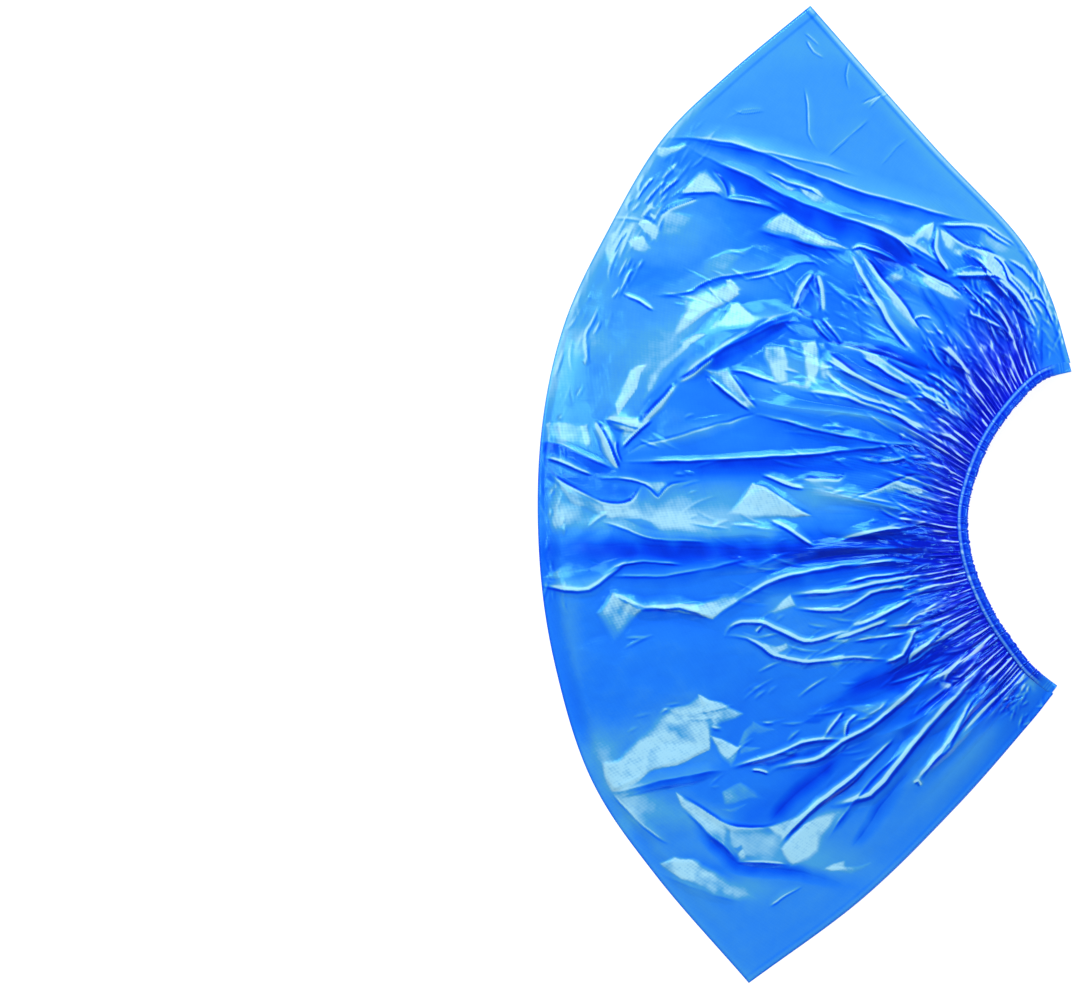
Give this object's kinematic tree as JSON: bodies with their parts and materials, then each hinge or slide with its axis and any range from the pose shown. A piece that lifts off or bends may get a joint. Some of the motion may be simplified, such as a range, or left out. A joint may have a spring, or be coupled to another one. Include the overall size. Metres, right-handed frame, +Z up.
{
  "type": "shoe cover",
  "caption": "Disposable overshoe of thin blue film lying flat: folded sole edge, welded toe and heel ends, and an open cuff gathered by elastic in narrow hems.",
  "frame": {"origin": "on the surface that the cover lies on, under the middle of its outline", "axes": "+X from the sole fold to the cuff, +Y from the heel to the toe, +Z up from the surface"},
  "size_m": [0.1891, 0.3456, 0.028],
  "materials": {
    "blue_film": "thin translucent blue film with a fine embossed diamond texture and a wet gloss",
    "gathered_hem_film": "the same film gathered into a narrow hem",
    "elastic_rubber": "thin elastic thread"
  },
  "bodies": {
    "root": {"film_pouch": "blue_film", "upper_hem": "gathered_hem_film", "lower_hem": "gathered_hem_film", "upper_elastic": "elastic_rubber", "lower_elastic": "elastic_rubber"}
  },
  "joints": []
}
